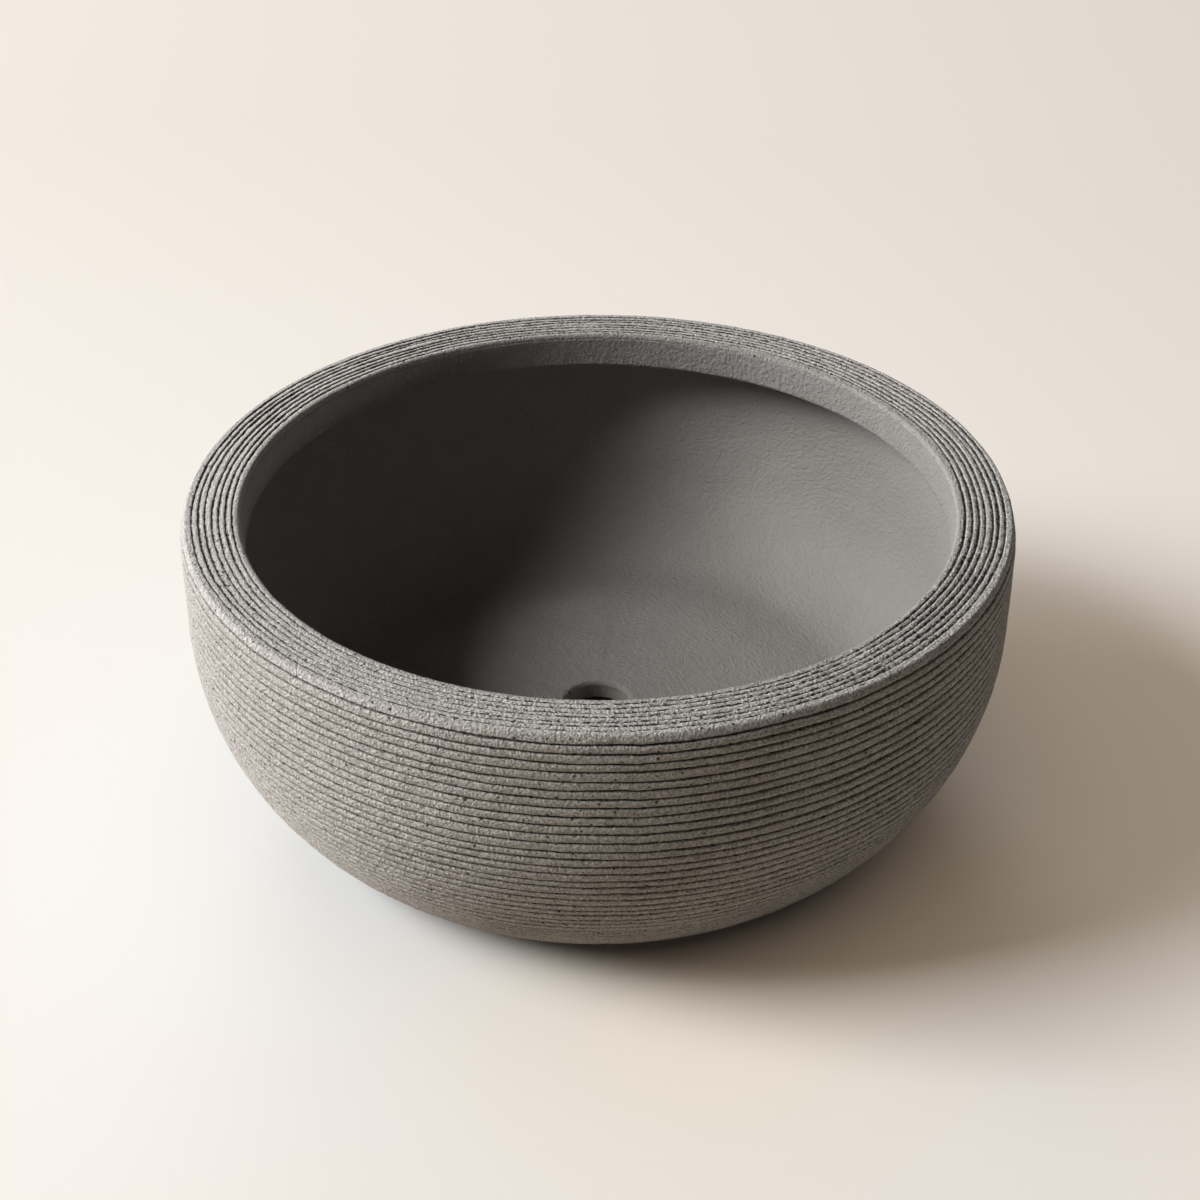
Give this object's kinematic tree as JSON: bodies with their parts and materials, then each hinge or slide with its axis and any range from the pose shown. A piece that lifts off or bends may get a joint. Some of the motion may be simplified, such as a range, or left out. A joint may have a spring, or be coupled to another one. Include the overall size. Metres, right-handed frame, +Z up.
{
  "type": "floor planter bowl",
  "caption": "Round low planter bowl with a thick combed rim, an upright combed wall that curves in to a foot ring, a smooth inside with a deep cove, and a drain hole.",
  "frame": {"origin": "centre of the foot's underside, on the ground", "axes": "+Z up along the bowl's axis; the bowl is round, so X and Y are any two level directions"},
  "size_m": [0.5, 0.4998, 0.2],
  "materials": {
    "combed_clay": "sandy, combed, matt",
    "body_clay": "rough, matt",
    "smooth_clay": "trowelled, matt",
    "glass_mat": "chopped glass strands, soaked in clay"
  },
  "bodies": {
    "root": {"face_coat": "combed_clay", "wall_clay": "body_clay", "haunch_core": "body_clay", "rim_core": "body_clay", "floor_clay": "body_clay", "wall_mat": "glass_mat", "rim_mat": "glass_mat", "floor_mat": "glass_mat", "inner_clay": "body_clay", "inner_coat": "smooth_clay"}
  },
  "joints": []
}
